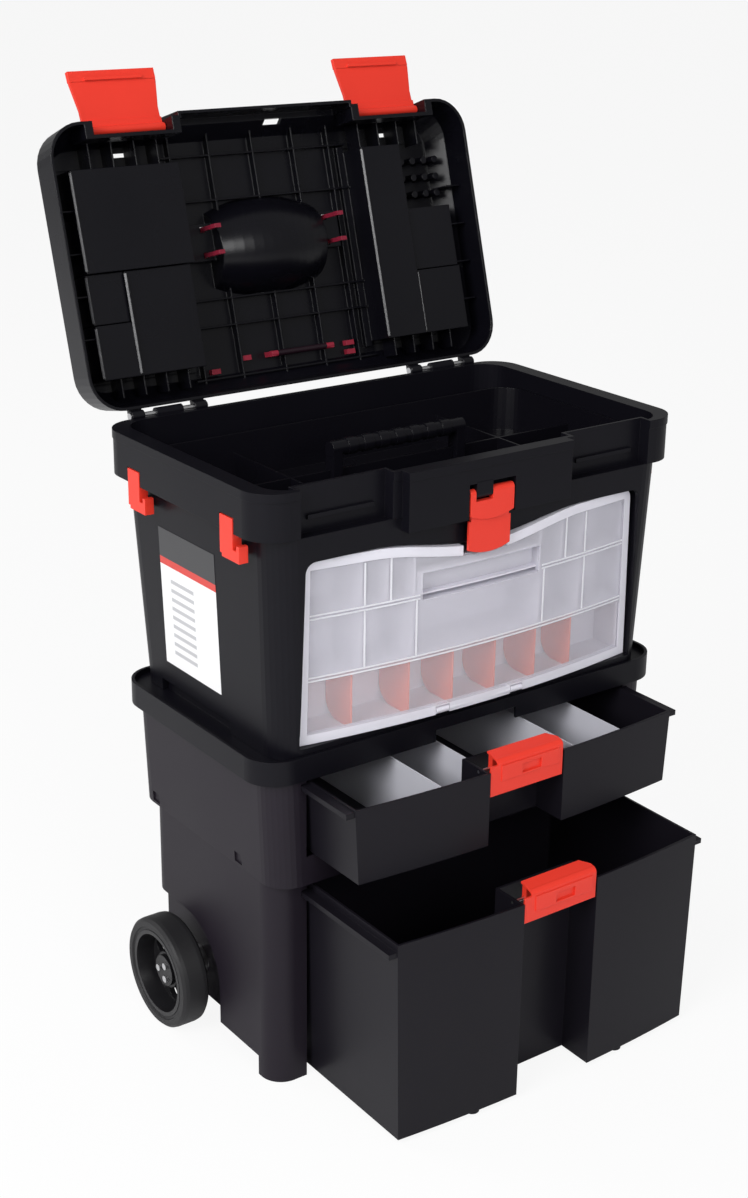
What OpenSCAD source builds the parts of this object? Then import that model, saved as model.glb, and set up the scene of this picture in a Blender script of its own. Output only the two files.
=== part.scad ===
// Three-tier wheeled tool chest, drawn in millimetres with its lid and drawers open.
// The origin lies on the floor under the middle of the rim. X is to the right, Y to the back.

/* [Stack] */
// Gap between the floor and the side walls of the lower shell
foot_h = 20; // [14:1:28]
// Height of the seam between the lower and the upper shell
seam_z = 208; // [205:1:214]
// Height of the deck that carries the top box
deck_z = 331; // [327:1:338]
// Height of the top box from its floor to its rim
box_h = 246.7; // [240:1:260]
// Gap under the top box where it stands on the deck
stack_gap = 0.3; // [0.2:0.1:0.6]

/* [Top box] */
// Width over the rim
rim_w = 470; // [456:1:490]
// Depth over the rim
rim_d = 270; // [266:1:280]
// Corner radius of the rim
rim_r = 30; // [24:1:36]
// Height of the skirt that hangs from the rim
skirt_h = 42; // [38:1:44]
// Wall thickness of the top box
box_wall = 2.6; // [2:0.2:3.2]
// How much narrower than the rim the body is, on each side
side_inset = 15; // [13:1:17]
// How much the body narrows towards its floor, on each side
side_taper = 8; // [5:1:10]
// How far the body's front lies behind the front of the rim
front_inset = 2.2; // [1.5:0.1:3]
// How far the body's back lies in front of the back of the rim
back_inset = 4; // [3:0.5:6]
// Half width of the raised block in the middle of the rim's front
block_half = 92; // [84:1:96]
// How far that block stands out of the rim's front
block_out = 10; // [8:1:12]
// Height of that block
block_h = 54; // [50:1:58]

/* [Lid] */
// Angle by which the open lid has swung from closed
lid_open = 106.2; // [95:0.1:110]
// Height of the lid
lid_h = 52; // [48:1:56]
// Wall thickness of the lid
lid_wall = 2.8; // [2.2:0.2:3.4]
// How far the lid's sides reach past the rim
lid_over = 2; // [1:0.5:3]
// Width of the sloping band around the lid's top
crown_w = 16; // [12:1:20]
// Height of that sloping band
crown_h = 18; // [14:1:20]
// Depth of the wells for small parts in the lid's top
well_depth = 38; // [34:1:39]
// Radius of the trough under the carry handle, in its middle
trough_r = 46.5; // [44:0.5:48]
// Radius of that trough at its ends
trough_end_r = 35; // [33:1:38]
// Half width of that trough
trough_half = 58; // [56:1:60]
// Radius of the hinge knuckles
knuckle_r = 5; // [4.5:0.1:5.5]
// Radius of the hinge pins
hinge_pin_r = 2.5; // [2:0.1:3]
// Radial clearance of every pin in what turns on it
pin_gap = 0.06; // [0.04:0.01:0.09]

/* [Lid latches] */
// Distance of each latch from the middle of the lid
latch_x = 148; // [144:1:150]
// Width of a latch at its pivot
latch_w = 82; // [74:1:84]
// Width of a latch at its free end
latch_end_w = 90; // [82:1:91]
// Length of a latch from its pivot to its free end
latch_len = 57; // [54:1:58]
// Thickness of a latch
latch_t = 3; // [2.4:0.2:3.2]
// How far the open latches have swung from closed
latch_open = 97; // [70:1:98]

/* [Organiser] */
// Width of the organiser at its top
org_w_top = 375; // [370:1:378]
// Width of the organiser at its bottom
org_w_low = 382; // [378:1:384]
// Height of the organiser's lower edge
org_z0 = 342; // [340:1:346]
// Height of the organiser at its upper corners
org_z1 = 511; // [507:1:512]
// Depth of the dip in the middle of its upper edge
dip_h = 14; // [10:1:16]
// Depth of the organiser from front to back
org_d = 58; // [54:1:60]
// How far its bowed front stands out in the middle
org_bow = 15; // [12:1:16]
// Wall thickness of the organiser
org_wall = 2; // [1.6:0.1:2.4]
// Clearance between the organiser and its bay
org_gap = 1.6; // [1.4:0.1:2]

/* [Lower chest] */
// Width of the lower shell
low_w = 430; // [426:1:432]
// Depth of the lower shell
low_d = 217; // [212:1:220]
// How far the lower shell's front lies behind the front of the rim
low_inset = 17; // [15:1:20]
// Width of the upper shell under its cover
up_w = 444; // [442:1:446]
// Depth of the upper shell
up_d = 247; // [244:1:248]
// How far the upper shell's front lies behind the front of the rim
up_inset = 6; // [5:1:8]
// How much the upper shell narrows downwards, on each side
up_taper = 5; // [3:0.5:6]
// Wall thickness of both shells
shell_wall = 2.5; // [2:0.1:3]
// Width of the cover
cover_w = 465; // [463:1:470]
// Depth of the cover
cover_d = 254; // [254:1:258]
// Height of the cover's hanging lip below the deck
cover_lip = 18; // [16:1:18]
// Height of the cover's raised border above the deck
cover_rim = 5; // [4:0.5:6]

/* [Drawers] */
// Width of the small drawer at its top
sd_w = 367; // [362:1:368]
// Height of the small drawer's floor
sd_z0 = 238; // [232:1:244]
// Height of the small drawer's upper edge
sd_z1 = 309.5; // [306:0.5:310]
// Length of the small drawer from front to back
sd_len = 232; // [222:1:234]
// How far the small drawer is pulled out
sd_out = 69; // [40:1:90]
// Room beside the big drawer, from its side to the outside of the lower shell
bd_side = 39; // [38.5:0.5:42]
// Height of the big drawer's floor
bd_z0 = 5; // [4:1:8]
// Height of the big drawer's upper edge
bd_z1 = 203; // [198:1:203]
// Length of the big drawer from front to back
bd_len = 205; // [196:1:206]
// How far the big drawer is pulled out
bd_out = 133; // [90:1:134]
// How much a drawer narrows downwards, on each side
drawer_taper = 4; // [2:0.5:5]
// Wall thickness of the drawers
drawer_wall = 2.4; // [2:0.1:3]
// How far a drawer's bowed front stands out in the middle
drawer_bow = 9; // [6:1:10]
// Half width of the finger recess in a drawer's front
recess_half = 43; // [42:1:46]
// Depth of that recess
recess_d = 27; // [26:1:30]
// How far a drawer's top flange reaches out on each side
flange_w = 8.5; // [7:0.5:9]
// Clearance under and beside a drawer's flange
run_gap = 0.3; // [0.2:0.1:0.5]

/* [Wheels] */
// Radius of a wheel over its tyre
wheel_r = 55; // [52:1:56]
// Width of a wheel
wheel_w = 28; // [24:1:30]
// How far a wheel's outer face stands out of the lower shell's side
wheel_out = 35; // [33:1:39]
// Distance of the axles behind the middle of the rim
axle_y = 37.5; // [32:0.5:40]
// Radius of the axles
axle_r = 12; // [10:0.5:13]
// Number of openings in a wheel
wheel_holes = 6; // [5:1:8]

/* [Pull handle] */
// Distance of each handle tube from the middle of the chest
tube_x = 75; // [66:1:84]
// Distance of the tubes behind the upper shell
tube_stand = 30; // [29:1:33]
// Outer radius of the fixed guide tubes
guide_r = 9.5; // [9:0.1:9.8]
// Wall thickness of the tubes
tube_t = 1.3; // [1:0.1:1.5]
// Radial clearance between the tubes
tube_gap = 0.08; // [0.05:0.01:0.1]

/* [Tray] */
// Width of the lift-out tray
tray_w = 432; // [420:1:433]
// Depth of the lift-out tray
tray_d = 211; // [196:1:212]
// Height of the tray
tray_h = 45; // [38:1:46]
// Wall thickness of the tray
tray_wall = 2; // [1.6:0.1:2.6]

/* [Hidden] */
$fn = 48;
flat = 0.02;
hull_fn = 32;
bow_fn = 720;
press = 0.02;
seat = 0.3;

// Colours of the mouldings
black = "#26252b";
red = "#e8412f";
frost = "#d9d9e6";
orange = "#e0703c";
steel = "#b9bcc0";
grey = "#c9c8d2";

// Rounded rectangle about the middle of its sides
module rrect(w, d, r) {
    square([w - 2 * r, d], center = true);
    square([w, d - 2 * r], center = true);
    for (x = [-1, 1], y = [-1, 1])
        translate([x * (w / 2 - r), y * (d / 2 - r)]) circle(r);
}

// Box given by its two opposite corners
module span(a, b) translate(a) cube(b - a);

// A shape and its mirror image on the other side of the chest
module both() for (s = [0, 1]) mirror([s, 0, 0]) children();

// Box that stands on both sides of the middle plane
module pair(a, b) both() span(a, b);

// Thin level slice for the tapered walls
module slice(w, d, r, cy, z) translate([0, cy, z]) linear_extrude(flat) rrect(w, d, r, $fn = hull_fn);

// Round bars along X, along Y and along Z
module bar(x0, x1, y, z, r) translate([x0, y, z]) rotate([0, 90, 0]) cylinder(h = x1 - x0, r = r);
module bar_y(x, y0, y1, z, r) translate([x, y1, z]) rotate([90, 0, 0]) cylinder(h = y1 - y0, r = r);
module post(x, y, z0, z1, r) translate([x, y, z0]) cylinder(h = z1 - z0, r = r);

// Outline in the X-Z plane, drawn out along Y
module prism(y0, y1) translate([0, y1, 0]) rotate([90, 0, 0]) linear_extrude(y1 - y0) children();

// Outline in the Y-Z plane, drawn out along X
module side_prism(x0, x1) translate([x0, 0, 0]) rotate([90, 0, 90]) linear_extrude(x1 - x0) children();

// Everything behind a front that bows out towards the middle
function bow_radius(half, bow) = (half * half + bow * bow) / (2 * bow);
module behind_bow(front, radius, inset = 0)
    translate([0, front + radius, -10]) cylinder(h = rim_z + 100, r = radius - inset, $fn = bow_fn);

// ---- Top box ----
rim_front = -rim_d / 2;
rim_back = rim_d / 2;
box_z = deck_z + stack_gap;
rim_z = box_z + box_h;
skirt_z = rim_z - skirt_h;
rim_t = 4;
body_half = rim_w / 2 - side_inset;
body_front = rim_front + front_inset;
body_back = rim_back - back_inset;
body_d = body_back - body_front;
body_cy = (body_back + body_front) / 2;
body_r = 28;
box_floor = 3;
pocket_half = 47;
pocket_y = rim_front + 13;
ridge_z = rim_z - 30;
ridge_h = 4;
ridge_out = 2.8;
hinge_y = rim_back + 4;
hinge_z = rim_z + 1;
box_knuckle_x = [147, 175];
lid_knuckle_x = [121, 188];
lid_knuckle_w = 13;
knuckle_gap = 0.5;
notch_y = [-46, 74];
notch_h = 12;
notch_x = body_half - side_taper - 17;
clasp_y = rim_front - block_out + 5;
clasp_z = rim_z - 32;
clasp_half = 24.5;
clasp_r = 4.5;
clasp_pin_r = 2;
clasp_back = clasp_y + 7.5;
clasp_top = rim_z - 22;
post_x = [-18, 0];

// Outside or inside of the top box, set in by i
module box_body(i, z0, z1)
    hull() {
        slice(2 * (body_half - side_taper - i), cover_d - 8 - 2 * i, body_r - i, cover_cy, z0);
        slice(2 * (body_half - i), body_d - 2 * i, body_r - i, body_cy, skirt_z);
        slice(2 * (body_half - i), body_d - 2 * i, body_r - i, body_cy, z1 - flat);
    }

// Plan of the rim with the block in the middle of its front
module rim_plan(i) {
    rrect(rim_w - 2 * i, rim_d - 2 * i, rim_r - i);
    translate([-(block_half - i), rim_front - block_out + i])
        square([2 * (block_half - i), block_out + rim_r]);
}

// Walls around the two latch pockets
module pocket_walls(back) pair([latch_x - pocket_half - box_wall, rim_front, skirt_z - box_wall],
    [latch_x + pocket_half + box_wall, pocket_y + back, rim_z + 1]);

module top_box() color(black) difference() {
    union() {
        difference() {
            union() {
                box_body(0, box_z, rim_z);
                translate([0, 0, skirt_z]) linear_extrude(skirt_h) rim_plan(0.8);
                translate([0, 0, rim_z - 8]) linear_extrude(8) rim_plan(0);
                span([-block_half + 0.8, rim_front - block_out + 0.8, rim_z - block_h],
                    [block_half - 0.8, body_front + 3, rim_z - 8]);
            }
            // hollow of the skirt, open from below
            difference() {
                translate([0, 0, rim_z - block_h - 1]) linear_extrude(block_h + 1 - rim_t)
                    rim_plan(3.6);
                box_body(0, box_z, rim_z + 1);
                pocket_walls(0);
                span([-30, rim_front - block_out, rim_z - block_h], [30, body_front + 3, rim_z]);
            }
            // inside of the tub, around the organiser bay and the latch pockets
            difference() {
                box_body(box_wall, box_z + box_floor, rim_z + 1);
                span([-bay_half - box_wall, body_front - 2, box_z],
                    [bay_half + box_wall, bay_back + box_wall, bay_top + box_wall]);
                pocket_walls(box_wall);
                pair([notch_x - box_wall, notch_y[0] - box_wall, box_z],
                    [body_half, notch_y[1] + box_wall, box_z + notch_h + box_wall]);
                // shelves that carry the back of the tray
                pair([150, tray_back - 14, tray_z0 - 20], [body_half, body_back, tray_z0 - seat]);
            }
            // organiser bay
            prism(rim_front - 30, body_front + 6) polygon(org_outline(org_gap));
            span([-bay_half, body_front + 5, org_z0 - seat], [bay_half, bay_back, bay_top]);
            // latch pockets
            pair([latch_x - pocket_half, rim_front - 1, skirt_z],
                [latch_x + pocket_half, pocket_y, rim_z + 1]);
            // clasp recess
            span([-clasp_half - 1.5, rim_front - block_out - 1, rim_z - block_h - 1],
                [clasp_half + 1.5, clasp_back, clasp_top]);
            // notches in the lower side edges
            pair([notch_x, notch_y[0], box_z - 1],
                [body_half + 1, notch_y[1], box_z + notch_h]);
            // rooms for the lid's knuckles in the back of the rim
            for (x = lid_knuckle_x)
                both() bar(x - knuckle_gap, x + lid_knuckle_w + knuckle_gap, hinge_y, hinge_z,
                    knuckle_r + knuckle_gap);
            // openings for the side hooks
            for (y = hook_y)
                pair([body_half + 0.5, y - hook_w / 2 - 1, skirt_z - 1],
                    [rim_w / 2 + 1, y + hook_w / 2 + 1, hook_z1 + 1]);
        }
        // ridge behind each latch's hook
        pair([latch_x - 34, pocket_y - ridge_out, ridge_z],
            [latch_x + 34, pocket_y + 1, ridge_z + ridge_h]);
        // post that carries the clasp's pin
        bar(post_x[0], post_x[1], clasp_y, clasp_z, clasp_r);
        span([post_x[0], clasp_y - clasp_r, clasp_z], [post_x[1], clasp_back + 1, clasp_top + 1]);
        // hinge knuckles on short arms
        both() {
            bar(box_knuckle_x[0], box_knuckle_x[1], hinge_y, hinge_z, knuckle_r);
            span([box_knuckle_x[0], rim_back - 3, hinge_z - knuckle_r],
                [box_knuckle_x[1], hinge_y, hinge_z - 1]);
        }
    }
    both() bar(box_knuckle_x[0] - 1, box_knuckle_x[1] + 1, hinge_y, hinge_z, hinge_pin_r + press);
    bar(post_x[0] - 1, post_x[1] + 1, clasp_y, clasp_z, clasp_pin_r + press);
}

// Pins of the lid's hinges, with a head at each end
module hinge_pin() color(steel) {
    x0 = lid_knuckle_x[0] - seat;
    x1 = lid_knuckle_x[1] + lid_knuckle_w + seat;
    bar(x0 - 1, x1 + 1, hinge_y, hinge_z, hinge_pin_r);
    bar(x0 - 1, x0, hinge_y, hinge_z, hinge_pin_r + 1);
    bar(x1, x1 + 1, hinge_y, hinge_z, hinge_pin_r + 1);
}
module hinge_pin_left() mirror([1, 0, 0]) hinge_pin();
module hinge_pin_right() hinge_pin();

// ---- Side hooks ----
hook_y = [-81, 76];
hook_w = 20;
hook_z0 = rim_z - 66;
hook_z1 = rim_z - 29;
hook_toe = 10;
hook_toe_h = 10;
hook_t = 9;
hook_tip = 4;

// Red hook that hangs from the hollow of the skirt, with its toe to the front
module side_hook(y) color(red) {
    x1 = rim_w / 2 - seat;
    x0 = x1 - hook_t;
    y0 = y - hook_w / 2;
    span([x0, y0, hook_z0 + 3], [x1, y + hook_w / 2, hook_z1]);
    span([x0, y0 - hook_toe, hook_z0], [x1, y + hook_w / 2 - 3, hook_z0 + hook_toe_h]);
    span([x0, y0 - hook_toe, hook_z0], [x1, y0 - hook_toe + hook_tip, hook_z0 + hook_toe_h + 5]);
    // foot against the wall of the box
    span([body_half + 0.4, y0, hook_z0 + 3], [x1, y + hook_w / 2 - 6, hook_z0 + hook_toe_h]);
    span([x0, y - hook_w / 2 + 1, hook_z1 - 1], [x1 - 4, y + hook_w / 2 - 1, rim_z - rim_t - 0.2]);
}
module side_hook_left_front() mirror([1, 0, 0]) side_hook(hook_y[0]);
module side_hook_left_back() mirror([1, 0, 0]) side_hook(hook_y[1]);
module side_hook_right_front() side_hook(hook_y[0]);
module side_hook_right_back() side_hook(hook_y[1]);

// ---- Lid, drawn closed and then turned open ----
lid_z = rim_z + 0.4;
lid_top = lid_z + lid_h;
lid_half = rim_w / 2 + lid_over;
lid_front = rim_front + 5;
lid_back = rim_back - 2;
lid_d = lid_back - lid_front;
lid_cy = (lid_back + lid_front) / 2;
lid_r = 34;
bulge_half = 99;
bulge_out = 4;
bulge_top = lid_top - crown_h;
lid_rib = 0.9;
lid_rib_h = 8;
lid_rib_x = [-92, -48, 2, 50, 92];
lid_rib_y = [-97, -54, 41, 67, 117];
lid_slot_y = [-106, -102];
lid_slot_x = [-153, 146];
lid_slot_w = 24;
front_slot_x = [15, 35];
front_slot_y = [-126, -121];
latch_y = pocket_y - 1;
latch_z = rim_z + 17;
latch_r = 4;
latch_pin_r = 2;
latch_head = 9;
hook_rel = ridge_z - 0.5 - latch_z;
well_wall = 2;
// Left, front, right and back edge of each well, and how much shallower it is than the deepest
wells = [[-212, -87, -102, 3, 0], [-212, 8, -178, 50, 4], [-212, 55, -178, 101, 1.5],
    [-173, 8, -106, 101, 3], [113, -87, 156, 101, 0], [161, -22, 212, 36, 4],
    [161, 41, 212, 101, 1.5]];
cover_t = 2.4;
cover_gap = 0.4;
cover_r = 2.6;
cover_pin_r = 1.5;
cover_hinge_x = [-103, 107];
cover_edge = 216;
cover_y = [-93, 106];
cover_knuckles = [[-62, -30], [38, 70]];
knuckle_room = cover_r + cover_gap;
trough_y = -6;
trough_z = lid_top + 8;
grip_pocket = 11.3;
handle_y = -14;
handle_half = 84;
handle_t = 10;
handle_d = 30;
leg_x = trough_half + 11;
leg_w = 4;
leg_barb = 1.5;
leg_pitch = 25;
leg_gap = 0.8;
leg_drop = 43;
handle_travel = 22;

// Turns a piece of the closed lid to where the lid stands open
module opened() translate([0, hinge_y, hinge_z]) rotate([-lid_open, 0, 0])
    translate([0, -hinge_y, -hinge_z]) children();

// Lid's outer or inner form, set in by i
module lid_form(i)
    hull() {
        slice(2 * (lid_half - i), lid_d - 2 * i, lid_r - i, lid_cy, i > 0 ? lid_z - 1 : lid_z);
        slice(2 * (lid_half - i) - 4, lid_d - 4 - 2 * i, lid_r - i, lid_cy, bulge_top - i);
        slice(2 * (lid_half - crown_w - i), lid_d - 2 * crown_w - 2 * i, lid_r - 8 - i, lid_cy,
            lid_top - i - flat);
    }

// Barrel of the handle trough, thicker in its middle, grown by g
module trough(g) intersection() {
    half = trough_half + g;
    translate([0, trough_y, trough_z]) rotate([0, 90, 0]) rotate_extrude($fn = 96)
        polygon(concat([[0, -half]], [for (i = [-6:6]) [trough_r + g
            - (trough_r - trough_end_r) * i * i / 36, i * half / 6]], [[0, half]]));
    span([-trough_half - g, trough_y - trough_r - g, lid_z],
        [trough_half + g, trough_y + trough_r + g, lid_top + (g > 0 ? 0 : 1)]);
}

module lid_walls() difference() {
    union() {
        lid_form(0);
        span([-bulge_half, lid_front - bulge_out, lid_z], [bulge_half, lid_front + 20, bulge_top]);
    }
    difference() {
        union() {
            lid_form(lid_wall);
            span([-bulge_half + lid_wall, lid_front - bulge_out + lid_wall, lid_z - 1],
                [bulge_half - lid_wall, lid_front + 20, bulge_top - lid_wall]);
        }
        for (w = wells)
            span([w[0] - well_wall, w[1] - well_wall, lid_top - well_depth - well_wall + w[4]],
                [w[2] + well_wall, w[3] + well_wall, lid_top]);
        trough(lid_wall);
        // pockets at the ends of the carry handle
        pair([trough_half + 1, handle_y - handle_d / 2 - 3, lid_top - grip_pocket - lid_wall],
            [handle_half + 3, handle_y + handle_d / 2 + 3, lid_top]);
        // bosses along the covers' pins
        for (x = cover_hinge_x)
            span([x - 4, cover_y[0] - 2, lid_top - 8], [x + 4, cover_y[1] + 2, lid_top]);
        // ribs under the middle of the lid's top
        for (y = lid_rib_y)
            span([wells[0][2], y - lid_rib, lid_top - lid_wall - lid_rib_h],
                [wells[4][0], y + lid_rib, lid_top]);
        for (x = lid_rib_x)
            span([x - lid_rib, lid_front, lid_top - lid_wall - lid_rib_h],
                [x + lid_rib, lid_back, lid_top]);
        // blocks that carry the latch pins
        pair([latch_x - latch_w / 2 - latch_head, lid_front, lid_z - 2],
            [latch_x + latch_w / 2 + latch_head, lid_front + 16, latch_z + 12]);
    }
}

// Step and knuckle rooms for the cover on one side; s is 0 on the left and 1 on the right
module cover_step(s) {
    x = cover_hinge_x[s];
    inner = s == 0 ? x - knuckle_room : x + knuckle_room;
    outer = s == 0 ? -cover_edge - cover_gap : cover_edge + cover_gap;
    span([min(inner, outer), cover_y[0] - cover_gap, lid_top - cover_t - seat],
        [max(inner, outer), cover_y[1] + cover_gap, lid_top + 1]);
    for (k = cover_knuckles) {
        bar_y(x, k[0] - cover_gap, k[1] + cover_gap, lid_top - cover_r, knuckle_room);
        span([x - knuckle_room, k[0] - cover_gap, lid_top - cover_r],
            [x + knuckle_room, k[1] + cover_gap, lid_top + 1]);
    }
}

module lid_shell() opened() color(black) difference() {
    union() {
        difference() {
            lid_walls();
            // wells and the steps that their covers lie in
            for (w = wells)
                span([w[0], w[1], lid_top - well_depth + w[4]], [w[2], w[3], lid_top + 1]);
            for (s = [0, 1]) cover_step(s);
            trough(0);
            // pockets and leg holes of the carry handle
            pair([trough_half - 1, handle_y - handle_d / 2 - 1, lid_top - grip_pocket],
                [handle_half + 1, handle_y + handle_d / 2 + 1, lid_top + 1]);
            for (y = [-1, 1])
                pair([leg_x - leg_gap, handle_y + y * leg_pitch / 2 - leg_w / 2 - leg_gap, lid_z],
                    [leg_x + leg_w + leg_gap, handle_y + y * leg_pitch / 2 + leg_w / 2 + leg_gap,
                    lid_top]);
            // notches in which the latches turn
            pair([latch_x - latch_w / 2 - 0.5, lid_front - 10, lid_z - 1],
                [latch_x + latch_w / 2 + 0.5, lid_front + 12.5, latch_z + 9]);
            // slots through the front of the lid's top
            for (x = lid_slot_x)
                span([x, lid_slot_y[0], lid_top - 20], [x + lid_slot_w, lid_slot_y[1], lid_top + 1]);
            span([front_slot_x[0], front_slot_y[0], lid_top - 24],
                [front_slot_x[1], front_slot_y[1], lid_top + 1]);
        }
        // hinge knuckles on short arms
        for (x = lid_knuckle_x)
            both() {
                bar(x, x + lid_knuckle_w, hinge_y, hinge_z, knuckle_r);
                span([x, lid_back - 2, hinge_z + 1],
                    [x + lid_knuckle_w, hinge_y, hinge_z + knuckle_r]);
            }
    }
    both() {
        bar(lid_knuckle_x[0] - 1, lid_knuckle_x[1] + lid_knuckle_w + 1, hinge_y, hinge_z,
            hinge_pin_r + pin_gap);
        bar(latch_x - latch_w / 2 - latch_head + 1, latch_x + latch_w / 2 + latch_head - 1, latch_y,
            latch_z, latch_pin_r + press);
    }
    for (x = cover_hinge_x)
        bar_y(x, cover_y[0], cover_y[1] - 1, lid_top - cover_r, cover_pin_r + press);
}

// Lid latch, drawn closed about its pin, then swung out and turned with the lid
module latch_swung() opened() translate([latch_x, latch_y, latch_z]) rotate([-latch_open, 0, 0])
    children();
module lid_latch() color(red) difference() {
    union() {
        bar(-latch_w / 2, latch_w / 2, 0, 0, latch_r);
        span([-latch_w / 2, -5.5, -10], [latch_w / 2, -0.5, 0]);
        // plate that widens towards its free end
        prism(-5.5, -5.5 + latch_t) polygon([[-latch_w / 2, 0], [latch_w / 2, 0],
            [latch_w / 2, -20], [latch_end_w / 2, 12 - latch_len], [latch_end_w / 2, -latch_len],
            [-latch_end_w / 2, -latch_len], [-latch_end_w / 2, 12 - latch_len],
            [-latch_w / 2, -20]]);
        // hook that catches under the ridge of the pocket
        span([-30, -3, hook_rel - 3], [30, 0.2, hook_rel]);
        // lip for the finger
        span([-latch_end_w / 2, -6.6, -latch_len], [latch_end_w / 2, -2, 10 - latch_len]);
    }
    bar(-latch_w / 2 - 1, latch_w / 2 + 1, 0, 0, latch_pin_r + pin_gap);
}
module lid_latch_left() mirror([1, 0, 0]) latch_swung() lid_latch();
module lid_latch_right() latch_swung() lid_latch();

module latch_pin() opened() color(steel)
    bar(latch_x - latch_w / 2 - latch_head + 1.5, latch_x + latch_w / 2 + latch_head - 1.5, latch_y,
        latch_z, latch_pin_r);
module latch_pin_left() mirror([1, 0, 0]) latch_pin();
module latch_pin_right() latch_pin();

// Cover over the wells on one side of the lid's top, s as above
module lid_cover(s) opened() color(black) {
    x = cover_hinge_x[s];
    edge = s == 0 ? -cover_edge : cover_edge;
    room = 4.3;
    z = lid_top - cover_r;
    difference() {
        union() {
            difference() {
                span([min(x, edge), cover_y[0], lid_top - cover_t],
                    [max(x, edge), cover_y[1], lid_top]);
                // room for the lid's bosses between the knuckles
                span([x - room, cover_y[0] - 1, z - 5], [x + room, cover_knuckles[0][0], lid_top + 1]);
                span([x - room, cover_knuckles[0][1], z - 5],
                    [x + room, cover_knuckles[1][0], lid_top + 1]);
                span([x - room, cover_knuckles[1][1], z - 5], [x + room, cover_y[1] + 1, lid_top + 1]);
            }
            for (k = cover_knuckles) bar_y(x, k[0], k[1], z, cover_r);
        }
        bar_y(x, cover_y[0] - 1, cover_y[1] + 1, z, cover_pin_r + pin_gap);
        // finger notch in the free edge
        post(edge, (cover_y[0] + cover_y[1]) / 2, lid_top - 8, lid_top + 1, 9);
    }
}
module lid_cover_left() lid_cover(0);
module lid_cover_right() lid_cover(1);
module cover_pins() opened() color(steel)
    for (x = cover_hinge_x)
        bar_y(x, cover_y[0] + 0.2, cover_y[1] - 1.2, lid_top - cover_r, cover_pin_r);

// Carry handle: grip over the trough and four barbed legs through the lid
module carry_handle() opened() color(red) {
    top = lid_top - 1;
    r = handle_t / 2;
    for (y = [-1, 1])
        bar(-handle_half, handle_half, handle_y + y * (handle_d / 2 - r), top - r, r);
    span([-handle_half, handle_y - handle_d / 2 + r, top - handle_t],
        [handle_half, handle_y + handle_d / 2 - r, top]);
    for (y = [-1, 1]) {
        y0 = handle_y + y * leg_pitch / 2 - leg_w / 2;
        pair([leg_x, y0, top - leg_drop], [leg_x + leg_w, y0 + leg_w, top - 2]);
        pair([leg_x - leg_barb, y0, top - leg_drop], [leg_x + leg_w + leg_barb, y0 + leg_w,
            lid_top - grip_pocket - lid_wall - handle_travel - 0.5]);
    }
}

// Small red clips and a rod on the inside of the lid's top
clip_x = [-78, -41, 83, 83];
clip_y = [110, 101, 101, 110];
clip_w = 10;
clip_d = 5;
clip_h = 6;
rod_x = [-17, 58];
rod_y = 101;
rod_r = 3;
rod_gap = 0.4;
module lid_clips() opened() color(red) {
    z = lid_top - lid_wall;
    for (i = [0:3])
        span([clip_x[i] - clip_w / 2, clip_y[i] - clip_d / 2, z - clip_h],
            [clip_x[i] + clip_w / 2, clip_y[i] + clip_d / 2, z]);
    bar(rod_x[0], rod_x[1], rod_y, z - lid_rib_h - rod_r - rod_gap, rod_r);
    for (x = [rod_x[0], rod_x[1] - clip_d])
        span([x, rod_y - clip_d / 2, z - lid_rib_h - clip_h], [x + clip_d, rod_y + clip_d / 2, z]);
}

// ---- Clasp in the middle of the front ----
clasp_low = 24.5;
tongue_h = 56;
tongue_half = clasp_half - 1;
clasp_skin = 2.6;
clasp_arc = 62;

// Square end rounded off at the bottom, z0 below the clasp's pin
module clasp_outline(half, z0, z1) intersection() {
    translate([-half, clasp_z - z0]) square([2 * half, z0 - z1]);
    translate([0, clasp_z - z0 + clasp_arc]) circle(r = clasp_arc, $fn = 96);
}

// Upper block of the clasp, on its pin, with a gap for the post of the top box
module clasp_lever() color(red) difference() {
    union() {
        bar(-clasp_half, clasp_half, clasp_y, clasp_z, clasp_r);
        prism(clasp_y - clasp_r, clasp_y - clasp_r + 5.5) clasp_outline(clasp_half, clasp_low, 0);
    }
    span([post_x[0] - 0.5, clasp_y - 10, clasp_z - clasp_r - 2],
        [post_x[1] + 0.5, clasp_y + 10, clasp_z + 10]);
    bar(-clasp_half - 1, clasp_half + 1, clasp_y, clasp_z, clasp_pin_r + pin_gap);
    span([-clasp_half + 3, clasp_y - clasp_r + clasp_skin, clasp_z - clasp_low - 4],
        [clasp_half - 3, clasp_y + 4, clasp_z - 10]);
}
// Tongue that reaches down over the organiser's upper edge
module clasp_tongue() color(red) {
    y0 = clasp_y - clasp_r + clasp_skin + 0.2;
    prism(y0, y0 + 2.5) clasp_outline(tongue_half, tongue_h, clasp_low + 0.4);
    span([-clasp_half + 3.2, y0, clasp_z - clasp_low - 1], [clasp_half - 3.2, y0 + 2.5, clasp_z - 10.2]);
}
module clasp_pin() color(steel)
    bar(-clasp_half + 0.3, clasp_half - 0.3, clasp_y, clasp_z, clasp_pin_r);

// ---- Organiser in the front bay ----
org_front = rim_front - 2;
org_back = org_front + org_d;
org_r = bow_radius((org_w_top + org_w_low) / 4, org_bow);
org_corner = 10;
dip_half = 125;
cover_depth = 6;
frame_w = 9;
bay_top = org_z1 + org_gap;
bay_back = org_back + org_gap;
bay_half = org_w_low / 2 + org_gap;
slot_half = 67;
slot_z = [455, 480];
org_rows = [402, 459];
cell_wall = 0.8;
top_cells = [-126, -100, -72, 72, 100, 126];
middle_cells = [-126, -73, 73, 126];
divider_x = [-133, -74, -26, 23, 73, 120];
org_hinge_y = org_front + 3;
org_hinge_z = org_z0 + 3.2;
org_knuckle_r = 3.1;
org_pin_r = 1.4;
case_knuckle = [36, 50];
tongue_notch = [tongue_half + 1.5, clasp_z - tongue_h - 1.4];

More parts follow.
